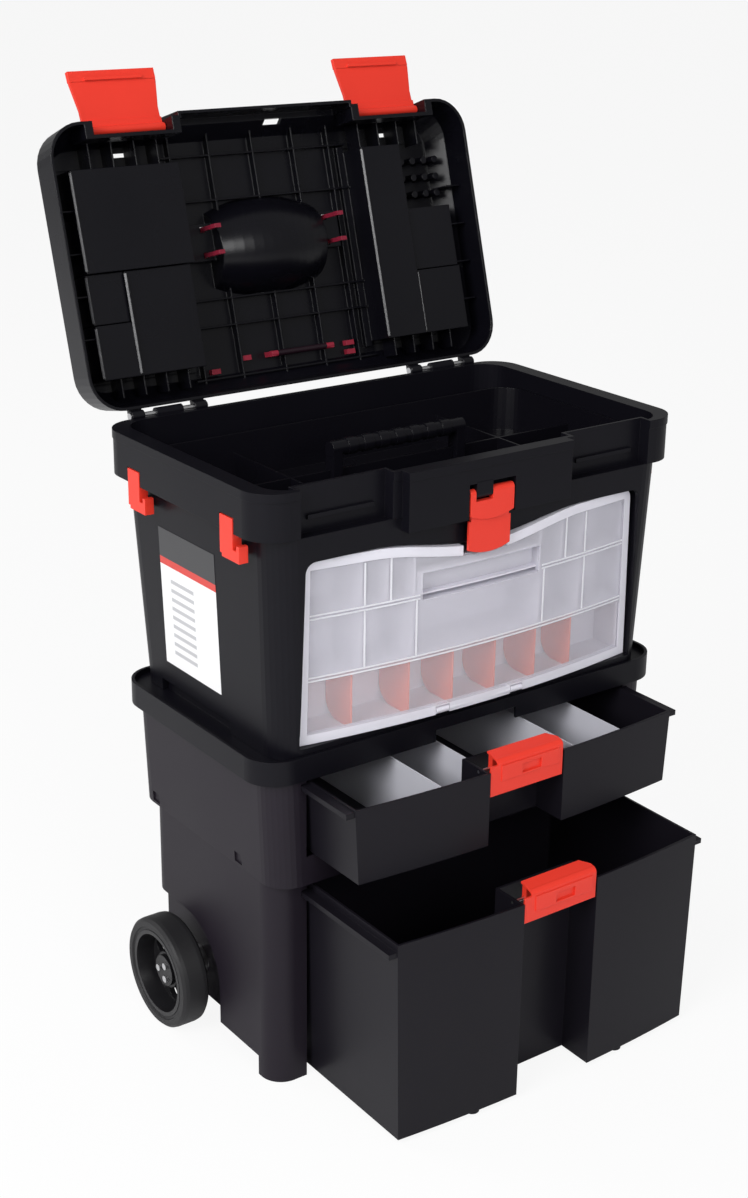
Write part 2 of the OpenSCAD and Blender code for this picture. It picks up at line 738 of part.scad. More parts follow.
// Front outline of the organiser, grown by g, with a dip in its upper edge
function dip(x) = abs(x) < dip_half ? dip_h * (1 + cos(180 * x / dip_half)) / 2 : 0;
function org_outline(g) = concat(
    [[-org_w_low / 2 - g, org_z0 - min(g, seat)], [org_w_low / 2 + g, org_z0 - min(g, seat)]],
    [for (a = [0:15:90]) [org_w_top / 2 + g - org_corner * (1 - cos(a)),
        org_z1 + g - org_corner * (1 - sin(a))]],
    [for (i = [1:23]) let (x = dip_half * (1 - i / 12)) [x, org_z1 + g - dip(x)]],
    [for (a = [90:15:180]) [-org_w_top / 2 - g + org_corner * (1 + cos(a)),
        org_z1 + g - org_corner * (1 - sin(a))]]);

module tongue_cut(g) span([-tongue_notch[0] - g, org_front - 20, tongue_notch[1] - g],
    [tongue_notch[0] + g, org_back + 1, org_z1 + 20]);

module organiser_case() color(frost) difference() {
    union() {
        difference() {
            intersection() {
                prism(org_front, org_back) polygon(org_outline(0));
                behind_bow(org_front, org_r, cover_depth + 0.4);
            }
            // cells, between their walls
            difference() {
                prism(org_front - 1, org_back - org_wall) polygon(org_outline(-org_wall));
                tongue_cut(org_wall);
                for (z = org_rows)
                    span([-org_w_low / 2, org_front, z - cell_wall],
                        [org_w_low / 2, org_back, z + cell_wall]);
                for (x = top_cells)
                    span([x - cell_wall, org_front, org_rows[1]], [x + cell_wall, org_back, org_z1]);
                for (x = middle_cells)
                    span([x - cell_wall, org_front, org_rows[0]],
                        [x + cell_wall, org_back, org_rows[1]]);
            }
            tongue_cut(0);
            // room for the cover's lower edge as it turns
            difference() {
                span([-org_w_low / 2 - 1, org_front - 1, org_z0 - 1],
                    [org_w_low / 2 + 1, org_back, org_z0 + 8]);
                behind_bow(org_front, org_r, cover_depth + 2.6);
            }
        }
        both() {
            bar(case_knuckle[0], case_knuckle[1], org_hinge_y, org_hinge_z, org_knuckle_r);
            span([case_knuckle[0], org_hinge_y, org_z0 + 0.1],
                [case_knuckle[1], org_front + 14, org_hinge_z]);
        }
    }
    both() bar(case_knuckle[0] - 1, case_knuckle[1] + 1, org_hinge_y, org_hinge_z,
        org_pin_r + press);
}

module organiser_cover() color(frost) difference() {
    union() {
        intersection() {
            difference() {
                prism(org_front - 1, org_front + 30) polygon(org_outline(0));
                // panel set back inside the frame, and the hollow behind it
                difference() {
                    prism(org_front - 2, org_front + 31) polygon(org_outline(-frame_w));
                    difference() {
                        behind_bow(org_front, org_r, 1.2);
                        behind_bow(org_front, org_r, 3);
                    }
                }
            }
            difference() {
                behind_bow(org_front, org_r);
                behind_bow(org_front, org_r, cover_depth);
            }
        }
        both() bar(6, case_knuckle[0] - 0.6, org_hinge_y, org_hinge_z, org_knuckle_r);
    }
    tongue_cut(0);
    // finger slot
    span([-slot_half, org_front - 5, slot_z[0]], [slot_half, org_front + 30, slot_z[1]]);
    // room for the case's knuckles
    pair([case_knuckle[0] - 0.6, org_front - 5, org_z0 - 1],
        [case_knuckle[1] + 0.8, org_front + 30, org_hinge_z + 4.6]);
    both() bar(5, case_knuckle[0], org_hinge_y, org_hinge_z, org_pin_r + pin_gap);
}
module organiser_pins() color(steel)
    both() bar(7, case_knuckle[1] - 1, org_hinge_y, org_hinge_z, org_pin_r);

// Loose dividers in the organiser's lowest row, rounded at the lower back
module organiser_dividers() color(orange)
    for (x = divider_x)
        intersection() {
            side_prism(x - 0.8, x + 0.8) {
                y0 = org_front + 6;
                y1 = org_back - org_wall - 0.2;
                z0 = org_z0 + org_wall + 0.1;
                z1 = org_rows[0] - cell_wall - 0.6;
                translate([y0, z0 + 18]) square([y1 - y0, z1 - z0 - 18]);
                translate([y0, z0]) square([y1 - y0 - 18, 20]);
                translate([y1 - 18, z0 + 18]) circle(18);
            }
            behind_bow(org_front, org_r, cover_depth + 3.2);
        }

// ---- Lift-out tray ----
tray_front = rim_front + 20;
tray_back = tray_front + tray_d;
tray_cy = tray_front + tray_d / 2;
tray_z0 = bay_top + box_wall + seat;
tray_top = tray_z0 + tray_h;
tray_r = 24;
tray_taper = 4;
grip_y = -3;
grip_half = 70;
socket_x = grip_half - 4;
socket_w = 10;
socket_d = 14;
socket_h = 14;
tray_walls_x = [-118, 122];

module tray_form(i, z0, z1)
    hull() {
        slice(tray_w - 2 * tray_taper - 2 * i, tray_d - 2 * tray_taper - 2 * i, tray_r - i, tray_cy,
            z0);
        slice(tray_w - 2 * i, tray_d - 2 * i, tray_r - i, tray_cy, z1 - flat);
    }
module tray() color(black) difference() {
    tray_form(0, tray_z0, tray_top);
    difference() {
        tray_form(tray_wall, tray_z0 + tray_wall, tray_top + 1);
        // compartment walls
        span([-tray_w / 2, grip_y - 1, tray_z0], [tray_w / 2, grip_y + 1, tray_top - 18]);
        for (x = tray_walls_x)
            span([x - 1, tray_front, tray_z0], [x + 1, tray_back, tray_top - 18]);
        // sockets of the handle
        pair([socket_x - 2, grip_y - socket_d / 2 - 2, tray_z0],
            [socket_x + socket_w + 2, grip_y + socket_d / 2 + 2, tray_z0 + socket_h]);
    }
    pair([socket_x, grip_y - socket_d / 2, tray_z0 + tray_wall],
        [socket_x + socket_w, grip_y + socket_d / 2, tray_top]);
}
module tray_handle() color(black) {
    r = 7;
    z = tray_top + 10 - r - 1;
    pair([socket_x + 0.2, grip_y - socket_d / 2 + 0.2, tray_z0 + tray_wall + 0.1],
        [socket_x + socket_w - 0.2, grip_y + socket_d / 2 - 0.2, z]);
    bar(-grip_half - 6, grip_half + 6, grip_y, z, r);
    for (i = [-3:3]) bar(i * 18 - 5, i * 18 + 5, grip_y, z, r + 1);
}

// ---- Lower chest ----
low_front = rim_front + low_inset;
low_back = low_front + low_d;
low_cy = (low_front + low_back) / 2;
low_r = 22;
up_front = rim_front + up_inset;
up_cy = up_front + up_d / 2;
up_back = up_front + up_d;
up_r = 26;
deck_t = 3;
cover_cy = up_cy;
cover_border = 3;
cover_corner = 32;
up_top = deck_z - deck_t;
bay_gap = 3;
flange_t = 5;
runner_h = 9;
sd_flange_z = sd_z1 - 6.5;
bd_flange_z = bd_z1 - 12;
bd_w = low_w - 2 * bd_side;
sd_bay_x = sd_w / 2 + bay_gap;
bd_bay_x = bd_w / 2 + bay_gap;
sd_wall_x = sd_w / 2 + flange_w + run_gap;
bd_wall_x = bd_w / 2 + flange_w + run_gap;
foot_d = 27;
axle_z = wheel_r;
well_r = wheel_r + 6;
well_in = 15;
well_x = low_w / 2 - well_in;
boss_r = axle_r + 5;
lever_rise = 13;
sd_latch_top = sd_z1 + lever_rise;
bd_latch_top = bd_z1 + lever_rise;
latch_slot = recess_half + 4;
slot_depth = 40;

// Outline of a wheel well, open to the floor and to the back, grown by g
module well(x0, x1, g) {
    bar(x0, x1, axle_y, axle_z, well_r + g);
    span([x0, axle_y - well_r - g, -1], [x1, axle_y + well_r + g, axle_z]);
    span([x0, axle_y, -1], [x1, low_back + 1, axle_z + well_r + g]);
}

module lower_shell() color(black) difference() {
    union() {
        difference() {
            translate([0, low_cy, foot_h]) linear_extrude(seam_z - foot_h) rrect(low_w, low_d, low_r);
            translate([0, low_cy, foot_h + shell_wall]) linear_extrude(seam_z)
                rrect(low_w - 2 * shell_wall, low_d - 2 * shell_wall, low_r - shell_wall);
        }
        // front feet
        intersection() {
            translate([0, low_cy, 0]) linear_extrude(foot_h + 1) rrect(low_w, low_d, low_r);
            pair([bd_bay_x, low_front, 0], [low_w / 2, low_front + foot_d, foot_h + 1]);
        }
        // inner walls and the runners of the big drawer
        pair([bd_wall_x, low_front + 1, foot_h], [bd_wall_x + shell_wall, low_back - 1, seam_z]);
        pair([bd_bay_x, low_front + 1, bd_flange_z - run_gap - runner_h],
            [bd_wall_x + 1, low_back - 1, bd_flange_z - run_gap]);
        // walls of the wheel wells
        intersection() {
            translate([0, low_cy, foot_h]) linear_extrude(seam_z - foot_h) rrect(low_w, low_d, low_r);
            both() well(well_x - shell_wall, low_w / 2, shell_wall);
        }
        both() bar(bd_wall_x, well_x, axle_y, axle_z, boss_r);
    }
    // drawer bay, open below
    span([-bd_wall_x, low_front + shell_wall, -1],
        [bd_wall_x, low_back - shell_wall, bd_flange_z - run_gap - runner_h]);
    span([-bd_bay_x, low_front - 1, -1], [bd_bay_x, low_back - shell_wall, seam_z + 1]);
    span([-bd_wall_x, low_front - 1, bd_flange_z - run_gap],
        [bd_wall_x, low_back - shell_wall, bd_flange_z + flange_t + 1]);
    both() well(well_x, low_w / 2 + 1, 0);
    both() bar(bd_wall_x - 1, well_x + 1, axle_y, axle_z, axle_r + press);
    // holes for the screws of the handle's foot
    for (x = bracket_screw_x)
        bar_y(x, low_back - shell_wall - 1, low_back + 1, guide_z0 + bracket_h / 2, screw_r + press);
}

// Outside or inside of the upper shell, set in by i
module up_form(i, z0, z1)
    hull() {
        slice(up_w - 2 * up_taper - 2 * i, up_d - 2 * i, up_r - i, up_cy, z0);
        slice(up_w - 2 * i, up_d - 2 * i, up_r - i, up_cy, z1 - flat);
    }
module upper_shell() color(black) difference() {
    union() {
        difference() {
            up_form(0, seam_z, up_top);
            up_form(shell_wall, seam_z + shell_wall, up_top + 1);
        }
        // inner walls and the runners of the small drawer
        pair([sd_wall_x, up_front + 1, seam_z + 1], [sd_wall_x + shell_wall, up_back - 1, up_top]);
        pair([sd_bay_x, up_front + 1, sd_flange_z - run_gap - runner_h],
            [sd_wall_x + 1, up_back - 1, sd_flange_z - run_gap]);
        // roof over the big drawer's latch
        span([-latch_slot - shell_wall, up_front + 1, seam_z],
            [latch_slot + shell_wall, up_front + slot_depth, bd_latch_top + 2 + shell_wall]);
    }
    // opening of the small drawer
    span([-sd_bay_x, up_front - 1, sd_z0 - 2], [sd_bay_x, up_front + shell_wall + 1, up_top - 3]);
    span([-sd_wall_x, up_front - 1, sd_flange_z - run_gap],
        [sd_wall_x, up_front + shell_wall + 1, sd_flange_z + flange_t + 1]);
    span([-latch_slot, up_front - 1, seam_z - 1],
        [latch_slot, up_front + slot_depth - shell_wall, bd_latch_top + 2]);
    // snap notches in the lower side edges
    for (y = [[-70, -58], [78, 90]])
        pair([up_w / 2 - up_taper - 1.4, y[0], seam_z + 3], [up_w / 2 + 1, y[1], seam_z + 13]);
    for (x = bracket_screw_x)
        bar_y(x, up_back - shell_wall - 1, up_back + 1, collar_z + bracket_h / 2, screw_r + press);
}

module chest_cover() color(black) {
    difference() {
        translate([0, cover_cy, deck_z - cover_lip]) linear_extrude(cover_lip + cover_rim)
            rrect(cover_w, cover_d, cover_corner);
        translate([0, cover_cy, deck_z]) linear_extrude(cover_rim + 1)
            rrect(cover_w - 2 * cover_border, cover_d - 2 * cover_border,
            cover_corner - cover_border);
        translate([0, cover_cy, deck_z - cover_lip - 1]) linear_extrude(cover_lip + 1 - deck_t)
            rrect(cover_w - 2 * shell_wall, cover_d - 2 * shell_wall, cover_corner - shell_wall);
        // notch over the small drawer's latch
        span([-latch_slot, cover_cy - cover_d / 2 - 1, deck_z - cover_lip - 1],
            [latch_slot, cover_cy - cover_d / 2 + 10, sd_latch_top + 2]);
    }
    // blocks that stand in the notches of the top box
    pair([notch_x + 1, notch_y[0] + 0.6, deck_z - 1],
        [notch_x + 11, notch_y[1] - 0.6, box_z + notch_h - 1]);
}

// ---- Drawers ----
sd_front = up_front - sd_out;
bd_front = low_front - bd_out;
sd_divider_x = [-91, -37, 61, 120];
divider_t = 1.2;
lever_t = 2;
lever_gap = 1;
lever_pin_r = 1.5;
lever_back = 21;
lever_drop = 3.5;
lever_eye_r = 3;
lever_cheek = [16, 10];
lever_set = 1.4;
lever_back_t = 2.5;
lever_slope = 3;
lever_fold_r = 5;
lever_step = 8;
sd_plate_h = 37;
bd_plate_h = 33;
pad_in = [12, 5];
pad_out = 1;
pad_z = [9, 24];
lever_slot = [-6, 16];
lever_slot_z = [13, 22];
lever_slot_deep = 2.2;
bd_foot_z = 0.6;

// Tapered drawer body, set in by i, with its bowed front
module drawer_form(w, front, len, z0, z1, i)
    intersection() {
        hull() {
            slice(w - 2 * drawer_taper - 2 * i, len + drawer_bow - 2 * i, 4, front
                + (len - drawer_bow) / 2, z0);
            slice(w - 2 * i, len + drawer_bow - 2 * i, 4, front + (len - drawer_bow) / 2, z1 - flat);
        }
        behind_bow(front - drawer_bow, bow_radius(w / 2, drawer_bow), i);
    }

// Holes, or with g = 0 the pins, of a drawer's latch
module lever_pins(front, z1, g)
    both() bar(recess_half - lever_gap - lever_cheek[0] - g,
        recess_half + drawer_wall + (g > 0 ? 1 : -0.2),
        front + recess_d - lever_back, z1 - lever_drop, lever_pin_r + g);

// Drawer with flanges and finger recess
module drawer(w, front, len, z0, z1, flange_z) difference() {
    union() {
        difference() {
            drawer_form(w, front, len, z0, z1, 0);
            difference() {
                drawer_form(w, front, len, z0 + drawer_wall, z1 + 1, drawer_wall);
                span([-recess_half - drawer_wall, front - drawer_bow, z0],
                    [recess_half + drawer_wall, front + recess_d + drawer_wall, z1 + 2]);
            }
        }
        pair([w / 2 - 1.5, front + 1, flange_z],
            [w / 2 + flange_w, front + len - 1, flange_z + flange_t]);
    }
    span([-recess_half, front - drawer_bow - 1, z0 - 1], [recess_half, front + recess_d, z1 + 1]);
    lever_pins(front, z1, press);
}

// Side view of a pull lever: its sloping top, folded down into the front plate
function lever_side(y0, y1, top, low) = let (y = y0 + lever_fold_r, z = top - lever_slope
    - lever_fold_r, r = lever_fold_r - lever_t) concat([[y1, top]],
    [for (a = [90:15:180]) [y + lever_fold_r * cos(a), z + lever_fold_r * sin(a)]],
    [[y0, low], [y0 + lever_t, low]],
    [for (a = [180:-15:90]) [y + r * cos(a), z + r * sin(a)]], [[y1, top - lever_t]]);

// Red pull lever that bridges the finger recess, hinged in the recess's side walls
module lever(front, z1, top, plate_h) {
    y_pin = front + recess_d - lever_back;
    y_front = front - drawer_bow + lever_set;
    y_end = y_pin + lever_back_t;
    half = recess_half - lever_gap;
    z_fold = top - lever_slope - lever_fold_r;
    difference() {
        union() {
            side_prism(lever_step - half, half)
                polygon(lever_side(y_front, y_end, top, z_fold - 2));
            span([-half, y_front, top - plate_h], [half, y_front + lever_t, z_fold]);
            // cheeks down to the pins
            both() {
                bar(half - lever_cheek[0], half - lever_cheek[1], y_pin, z1 - lever_drop,
                    lever_eye_r);
                span([half - lever_cheek[0], y_pin - lever_eye_r, z1 - lever_drop],
                    [half - lever_cheek[1], y_end, top - lever_t]);
            }
            // raised pad on the front
            span([-half + pad_in[0], y_front - pad_out, top - pad_z[1]],
                [half - pad_in[1], y_front + 1, top - pad_z[0]]);
        }
        both() bar(half - lever_cheek[0] - 1, half - lever_cheek[1] + 1, y_pin, z1 - lever_drop,
            lever_pin_r + pin_gap);
        // pocket for a finger in the pad
        span([lever_slot[0], y_front - pad_out - 1, top - lever_slot_z[1]],
            [lever_slot[1], y_front - pad_out + lever_slot_deep, top - lever_slot_z[0]]);
        // bevelled corner of the top
        translate([half, y_end, top - lever_slope - 2]) linear_extrude(lever_slope + 3)
            polygon([[1, 1], [-lever_step - 1, 1], [-lever_step, 0], [0, -lever_step], [1, -lever_step]]);
    }
}

module small_drawer() color(black) drawer(sd_w, sd_front, sd_len, sd_z0, sd_z1, sd_flange_z);
module small_drawer_dividers() color(grey)
    for (x = sd_divider_x)
        intersection() {
            drawer_form(sd_w, sd_front, sd_len, sd_z0 + drawer_wall + 0.1, sd_z1 - 3,
                drawer_wall + 0.2);
            span([x - divider_t / 2, (abs(x) < recess_half + 4
                ? sd_front + recess_d + drawer_wall + 0.2 : sd_front - drawer_bow), sd_z0],
                [x + divider_t / 2, sd_front + sd_len, sd_z1]);
        }
module small_latch() color(red) lever(sd_front, sd_z1, sd_latch_top, sd_plate_h);
module small_latch_pins() color(steel) lever_pins(sd_front, sd_z1, 0);

module big_drawer() color(black) {
    drawer(bd_w, bd_front, bd_len, bd_z0, bd_z1, bd_flange_z);
    // feet under the front
    for (x = [-87, 87]) post(x, bd_front + 2, bd_foot_z, bd_z0 + 1, 7);
}
module big_latch() color(red) lever(bd_front, bd_z1, bd_latch_top, bd_plate_h);
module big_latch_pins() color(steel) lever_pins(bd_front, bd_z1, 0);

// ---- Wheels, drawn on the right and mirrored to the left ----
wheel_x = low_w / 2 + wheel_out;
hub_x0 = wheel_x - wheel_w;
hub_sink = 12;
hub_x1 = wheel_x - hub_sink;
hub_r = axle_r + 6;
rim_out = wheel_r - 12;
cap_t = 3;
cap_r = axle_r + 3.5;
screw_ring = 8;
screw_hole = 1.7;
screw_angles = [90, 210, 330];

module on_axle() translate([0, axle_y, axle_z]) rotate([0, 90, 0]) children();
// Children placed on the ring of screws, at a distance x along the axle
module on_ring(x) for (a = screw_angles) rotate(a) translate([screw_ring, 0, x]) children();

module wheel_axles() color(steel) both() on_axle() difference() {
    union() {
        translate([0, 0, bd_wall_x - 2]) cylinder(h = hub_x1 - bd_wall_x + 2, r = axle_r);
        translate([0, 0, bd_wall_x - 2]) cylinder(h = 2, r = axle_r + 4);
        translate([0, 0, well_x]) cylinder(h = hub_x0 - 0.5 - well_x, r = axle_r + 3);
    }
    translate([0, 0, bd_wall_x - 3]) cylinder(h = 80, r = 4);
    on_ring(hub_x1 - 8) cylinder(h = 9, r = screw_hole + press, $fn = 24);
}
module wheel() color(black) on_axle() difference() {
    rotate_extrude($fn = 96) polygon([[axle_r + pin_gap, hub_x0], [hub_r, hub_x0],
        [hub_r + 1.5, hub_x0 + 5], [rim_out - 6, hub_x0 + 3], [rim_out - 4, hub_x0],
        [rim_out, hub_x0], [rim_out, wheel_x - 1], [rim_out - 4, wheel_x - 1],
        [rim_out - 7, hub_x0 + 9], [hub_r + 2, hub_x0 + 9], [hub_r, hub_x1 - 0.5],
        [axle_r + pin_gap, hub_x1 - 0.5]]);
    for (i = [0:wheel_holes - 1]) rotate(i * 360 / wheel_holes)
        translate([(hub_r + rim_out - 6) / 2, 0, hub_x0 - 1]) cylinder(h = 14, r = 7.2, $fn = 32);
}
module tyre() color("#1b1b1f") on_axle() rotate_extrude($fn = 96)
    polygon([[rim_out + 0.05, hub_x0], [wheel_r - 3, hub_x0], [wheel_r - 0.6, hub_x0 + 2.4],
        [wheel_r, hub_x0 + 6], [wheel_r, wheel_x - 6], [wheel_r - 0.6, wheel_x - 2.4],
        [wheel_r - 3, wheel_x], [rim_out + 3.4, wheel_x], [rim_out + 2.6, wheel_x - 1.4],
        [rim_out + 0.05, wheel_x - 1.4]]);
module wheel_cap() color(black) on_axle() difference() {
    translate([0, 0, hub_x1]) cylinder(h = cap_t, r = cap_r);
    on_ring(hub_x1 - 1) cylinder(h = cap_t + 2, r = screw_hole + press, $fn = 24);
}
module wheel_left() mirror([1, 0, 0]) wheel();
module wheel_right() wheel();
module tyre_left() mirror([1, 0, 0]) tyre();
module tyre_right() tyre();
module wheel_cap_left() mirror([1, 0, 0]) wheel_cap();
module wheel_cap_right() wheel_cap();
module wheel_screws() color(steel) both() on_axle() {
    on_ring(hub_x1 - 7) cylinder(h = 8 + cap_t, r = screw_hole, $fn = 24);
    on_ring(hub_x1 + cap_t) cylinder(h = 2.2, r = 3.4, $fn = 24);
}

// ---- Telescopic pull handle on the back ----
tube_y = up_back + tube_stand;
stage_r = guide_r - tube_t - tube_gap;
grip_tube_r = stage_r - tube_t - tube_gap;
guide_z0 = 62;
guide_z1 = 326;
bracket_h = 24;
collar_z = deck_z - cover_lip - 0.6 - bracket_h;
bracket_screw_x = [-40, 40];
screw_r = 2;
bracket_half = tube_x + 4;
yoke_z = deck_z + 3;
yoke_h = 12;
yoke_d = 14;
yoke_eye_r = 11.5;
yoke_seat = 9;
yoke_top = 3;
pull_z = yoke_z + yoke_h + 4;
pull_h = 22;
pull_r = pull_h / 2;
button_r = 6;

// Tube pair between two heights
module tubes(z0, z1, r) color(steel) both() difference() {
    post(tube_x, tube_y, z0, z1, r);
    post(tube_x, tube_y, z0 - 1, z1 + 1, r - tube_t);
}
module guide_tubes() tubes(guide_z0 + 3, guide_z1, guide_r);
module stage_tubes() tubes(guide_z0 + 14, yoke_z + yoke_seat, stage_r);
module grip_tubes() tubes(guide_z0 + 24, pull_z + 16, grip_tube_r);

// Bracket from a back wall to the tubes
module bracket(wall_y, z0, floor_t) color(black) difference() {
    z1 = z0 + bracket_h;
    union() {
        span([-bracket_half, wall_y, z0], [bracket_half, tube_y - 2, z1]);
        pair([tube_x - 14, wall_y, z0], [tube_x + 14, tube_y, z1]);
        both() post(tube_x, tube_y, z0, z1, 14);
    }
    both() post(tube_x, tube_y, z0 + floor_t, z1 + 1, guide_r + press);
    span([-tube_x + 16, wall_y + 4, z0 + 4], [tube_x - 16, tube_y + 1, z1 - 4]);
    for (x = bracket_screw_x) bar_y(x, wall_y - 1, wall_y + 6, z0 + bracket_h / 2, screw_r + press);
}
module guide_foot() bracket(low_back, guide_z0, 3);
module guide_collar() bracket(up_back, collar_z, -1);
module bracket_screws() color(steel)
    for (x = bracket_screw_x, s = [[low_back, guide_z0], [up_back, collar_z]]) {
        bar_y(x, s[0] - shell_wall, s[0] + 4, s[1] + bracket_h / 2, screw_r);
        bar_y(x, s[0] + 4, s[0] + 6.4, s[1] + bracket_h / 2, screw_r + 2);
    }

module stage_yoke() color(black) difference() {
    union() {
        span([-tube_x, tube_y - yoke_d / 2, yoke_z], [tube_x, tube_y + yoke_d / 2, yoke_z + yoke_h]);
        both() post(tube_x, tube_y, yoke_z, yoke_z + yoke_h, yoke_eye_r);
    }
    both() post(tube_x, tube_y, yoke_z - 1, yoke_z + yoke_seat, stage_r + press);
    both() post(tube_x, tube_y, yoke_z - 1, yoke_z + yoke_h + 1, grip_tube_r + tube_gap);
    span([-tube_x + yoke_d, tube_y - yoke_d / 2 + yoke_top, yoke_z - 1],
        [tube_x - yoke_d, tube_y + yoke_d / 2 - yoke_top, yoke_z + yoke_h - yoke_top]);
}
module pull_grip() color(black) difference() {
    union() {
        bar(-tube_x - 14, tube_x + 14, tube_y, pull_z + pull_h - pull_r, pull_r);
        both() span([tube_x - 13, tube_y - 9, pull_z], [tube_x + 13, tube_y + 9, pull_z + 10]);
    }
    both() post(tube_x, tube_y, pull_z - 1, pull_z + 16, grip_tube_r + press);
    post(0, tube_y, pull_z + pull_h - 9, pull_z + pull_h + 1, button_r + pin_gap);
}
module grip_button() color(red)
    post(0, tube_y, pull_z + pull_h - 5, pull_z + pull_h + 2.5, button_r);

lower_shell();
upper_shell();
chest_cover();
top_box();
lid_shell();
hinge_pin_left();
hinge_pin_right();
lid_latch_left();
lid_latch_right();
latch_pin_left();
latch_pin_right();
lid_cover_left();
lid_cover_right();
cover_pins();
carry_handle();
lid_clips();
tray();
tray_handle();
clasp_lever();
clasp_tongue();
clasp_pin();
organiser_case();
organiser_cover();
organiser_pins();
organiser_dividers();
side_hook_left_front();
side_hook_left_back();
side_hook_right_front();
side_hook_right_back();
small_drawer();
small_drawer_dividers();
small_latch();
small_latch_pins();
big_drawer();
big_latch();
big_latch_pins();
wheel_axles();
wheel_left();
wheel_right();
tyre_left();
tyre_right();
wheel_cap_left();
wheel_cap_right();
wheel_screws();
guide_tubes();
guide_foot();
guide_collar();
bracket_screws();
stage_tubes();
stage_yoke();
grip_tubes();
pull_grip();
grip_button();
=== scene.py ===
# Rolling tool chest in three tiers, shown open: materials, small parts, light and camera.
import math

import bpy
from mathutils import Matrix, Vector


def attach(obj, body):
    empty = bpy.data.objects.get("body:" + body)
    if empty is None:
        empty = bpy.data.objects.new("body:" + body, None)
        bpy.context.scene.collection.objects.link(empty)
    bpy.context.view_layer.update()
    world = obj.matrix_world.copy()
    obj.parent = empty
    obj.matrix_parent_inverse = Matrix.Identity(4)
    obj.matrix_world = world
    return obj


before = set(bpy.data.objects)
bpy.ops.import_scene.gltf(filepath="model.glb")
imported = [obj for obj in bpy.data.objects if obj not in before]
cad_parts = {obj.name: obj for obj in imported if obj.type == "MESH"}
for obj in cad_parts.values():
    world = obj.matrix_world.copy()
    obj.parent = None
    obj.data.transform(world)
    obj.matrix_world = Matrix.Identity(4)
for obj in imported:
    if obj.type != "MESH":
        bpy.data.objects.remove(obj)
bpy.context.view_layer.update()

# ---- Studio ----
# A pale floor and a white surround stand in for the studio. One large soft lamp lights the left
# side and the front, and two weaker ones open up the front and the back.
bpy.context.scene.view_settings.view_transform = "Standard"


class Value:
    """One output in a shader tree, so that shader maths reads as plain sums."""

    def __init__(self, tree, socket):
        self.tree, self.socket = tree, socket

    def maths(self, operation, *values):
        made = self.tree.nodes.new("ShaderNodeMath")
        made.operation = operation
        for place, value in zip(made.inputs, values):
            if isinstance(value, Value):
                self.tree.links.new(value.socket, place)
            else:
                place.default_value = value
        return Value(self.tree, made.outputs[0])

    def __add__(self, other): return self.maths("ADD", self, other)
    def __radd__(self, other): return self.maths("ADD", other, self)
    def __sub__(self, other): return self.maths("SUBTRACT", self, other)
    def __rsub__(self, other): return self.maths("SUBTRACT", other, self)
    def __mul__(self, other): return self.maths("MULTIPLY", self, other)
    def __rmul__(self, other): return self.maths("MULTIPLY", other, self)
    def __gt__(self, other): return self.maths("GREATER_THAN", self, other)
    def __lt__(self, other): return self.maths("LESS_THAN", self, other)


class Finish:
    """A material with one shader, and the one call that adds any node to it."""

    def __init__(self, name):
        self.material = bpy.data.materials.new(name)
        self.material.use_nodes = True
        self.tree = self.material.node_tree
        self.tree.nodes.clear()
        self.out = self.tree.nodes.new("ShaderNodeOutputMaterial")
        self.shader = self.tree.nodes.new("ShaderNodeBsdfPrincipled")
        self.tree.links.new(self.shader.outputs[0], self.out.inputs["Surface"])

    def node(self, kind, settings=None, inputs=None, output=0):
        made = self.tree.nodes.new(kind)
        for name, value in (settings or {}).items():
            setattr(made, name, value)
        self.feed(made, inputs or {})
        return Value(self.tree, made.outputs[output])

    def feed(self, made, inputs):
        for name, value in inputs.items():
            if isinstance(value, Value):
                self.tree.links.new(value.socket, made.inputs[name])
            else:
                made.inputs[name].default_value = value

    def set(self, **inputs):
        self.feed(self.shader, {name.replace("_", " "): value for name, value in inputs.items()})


# to the camera the floor is nine tenths plain white, and the last tenth keeps the shadow; it lies
# a hair under the wheels
floor_glow, floor_size, floor_drop = 0.9, 120, 0.0005
floor_finish = Finish("pale floor")
floor_finish.set(Base_Color=(0.86, 0.86, 0.87, 1), Roughness=0.7, Specular_IOR_Level=0.2)
floor_seen = floor_finish.node("ShaderNodeLightPath") * floor_glow
floor_white = floor_finish.node("ShaderNodeEmission", None, {"Color": (1, 1, 1, 1)})
floor_lit = Value(floor_finish.tree, floor_finish.shader.outputs[0])
floor_mix = floor_finish.node("ShaderNodeMixShader", None,
                              {0: floor_seen, 1: floor_lit, 2: floor_white})
floor_finish.tree.links.new(floor_mix.socket, floor_finish.out.inputs["Surface"])
bpy.ops.mesh.primitive_plane_add(size=floor_size, location=(0, 0, -floor_drop))
floor = bpy.context.object
floor.name = "floor"
floor.data.materials.append(floor_finish.material)

# the surround gives a weak even light, and the camera sees it as white
surround_glow = 0.3
world = bpy.data.worlds.new("white surround")
bpy.context.scene.world = world
world.use_nodes = True
sky = world.node_tree
sky.nodes.clear()
sky_out = sky.nodes.new("ShaderNodeOutputWorld")
sky_light, sky_seen = (sky.nodes.new("ShaderNodeBackground") for _ in range(2))
sky_light.inputs["Color"].default_value = (1, 1, 1, 1)
sky_light.inputs["Strength"].default_value = surround_glow
sky_seen.inputs["Color"].default_value = (1, 1, 1, 1)
sky_ray = sky.nodes.new("ShaderNodeLightPath")
sky_mix = sky.nodes.new("ShaderNodeMixShader")
sky.links.new(sky_ray.outputs["Is Camera Ray"], sky_mix.inputs[0])
sky.links.new(sky_light.outputs[0], sky_mix.inputs[1])
sky.links.new(sky_seen.outputs[0], sky_mix.inputs[2])
sky.links.new(sky_mix.outputs[0], sky_out.inputs["Surface"])


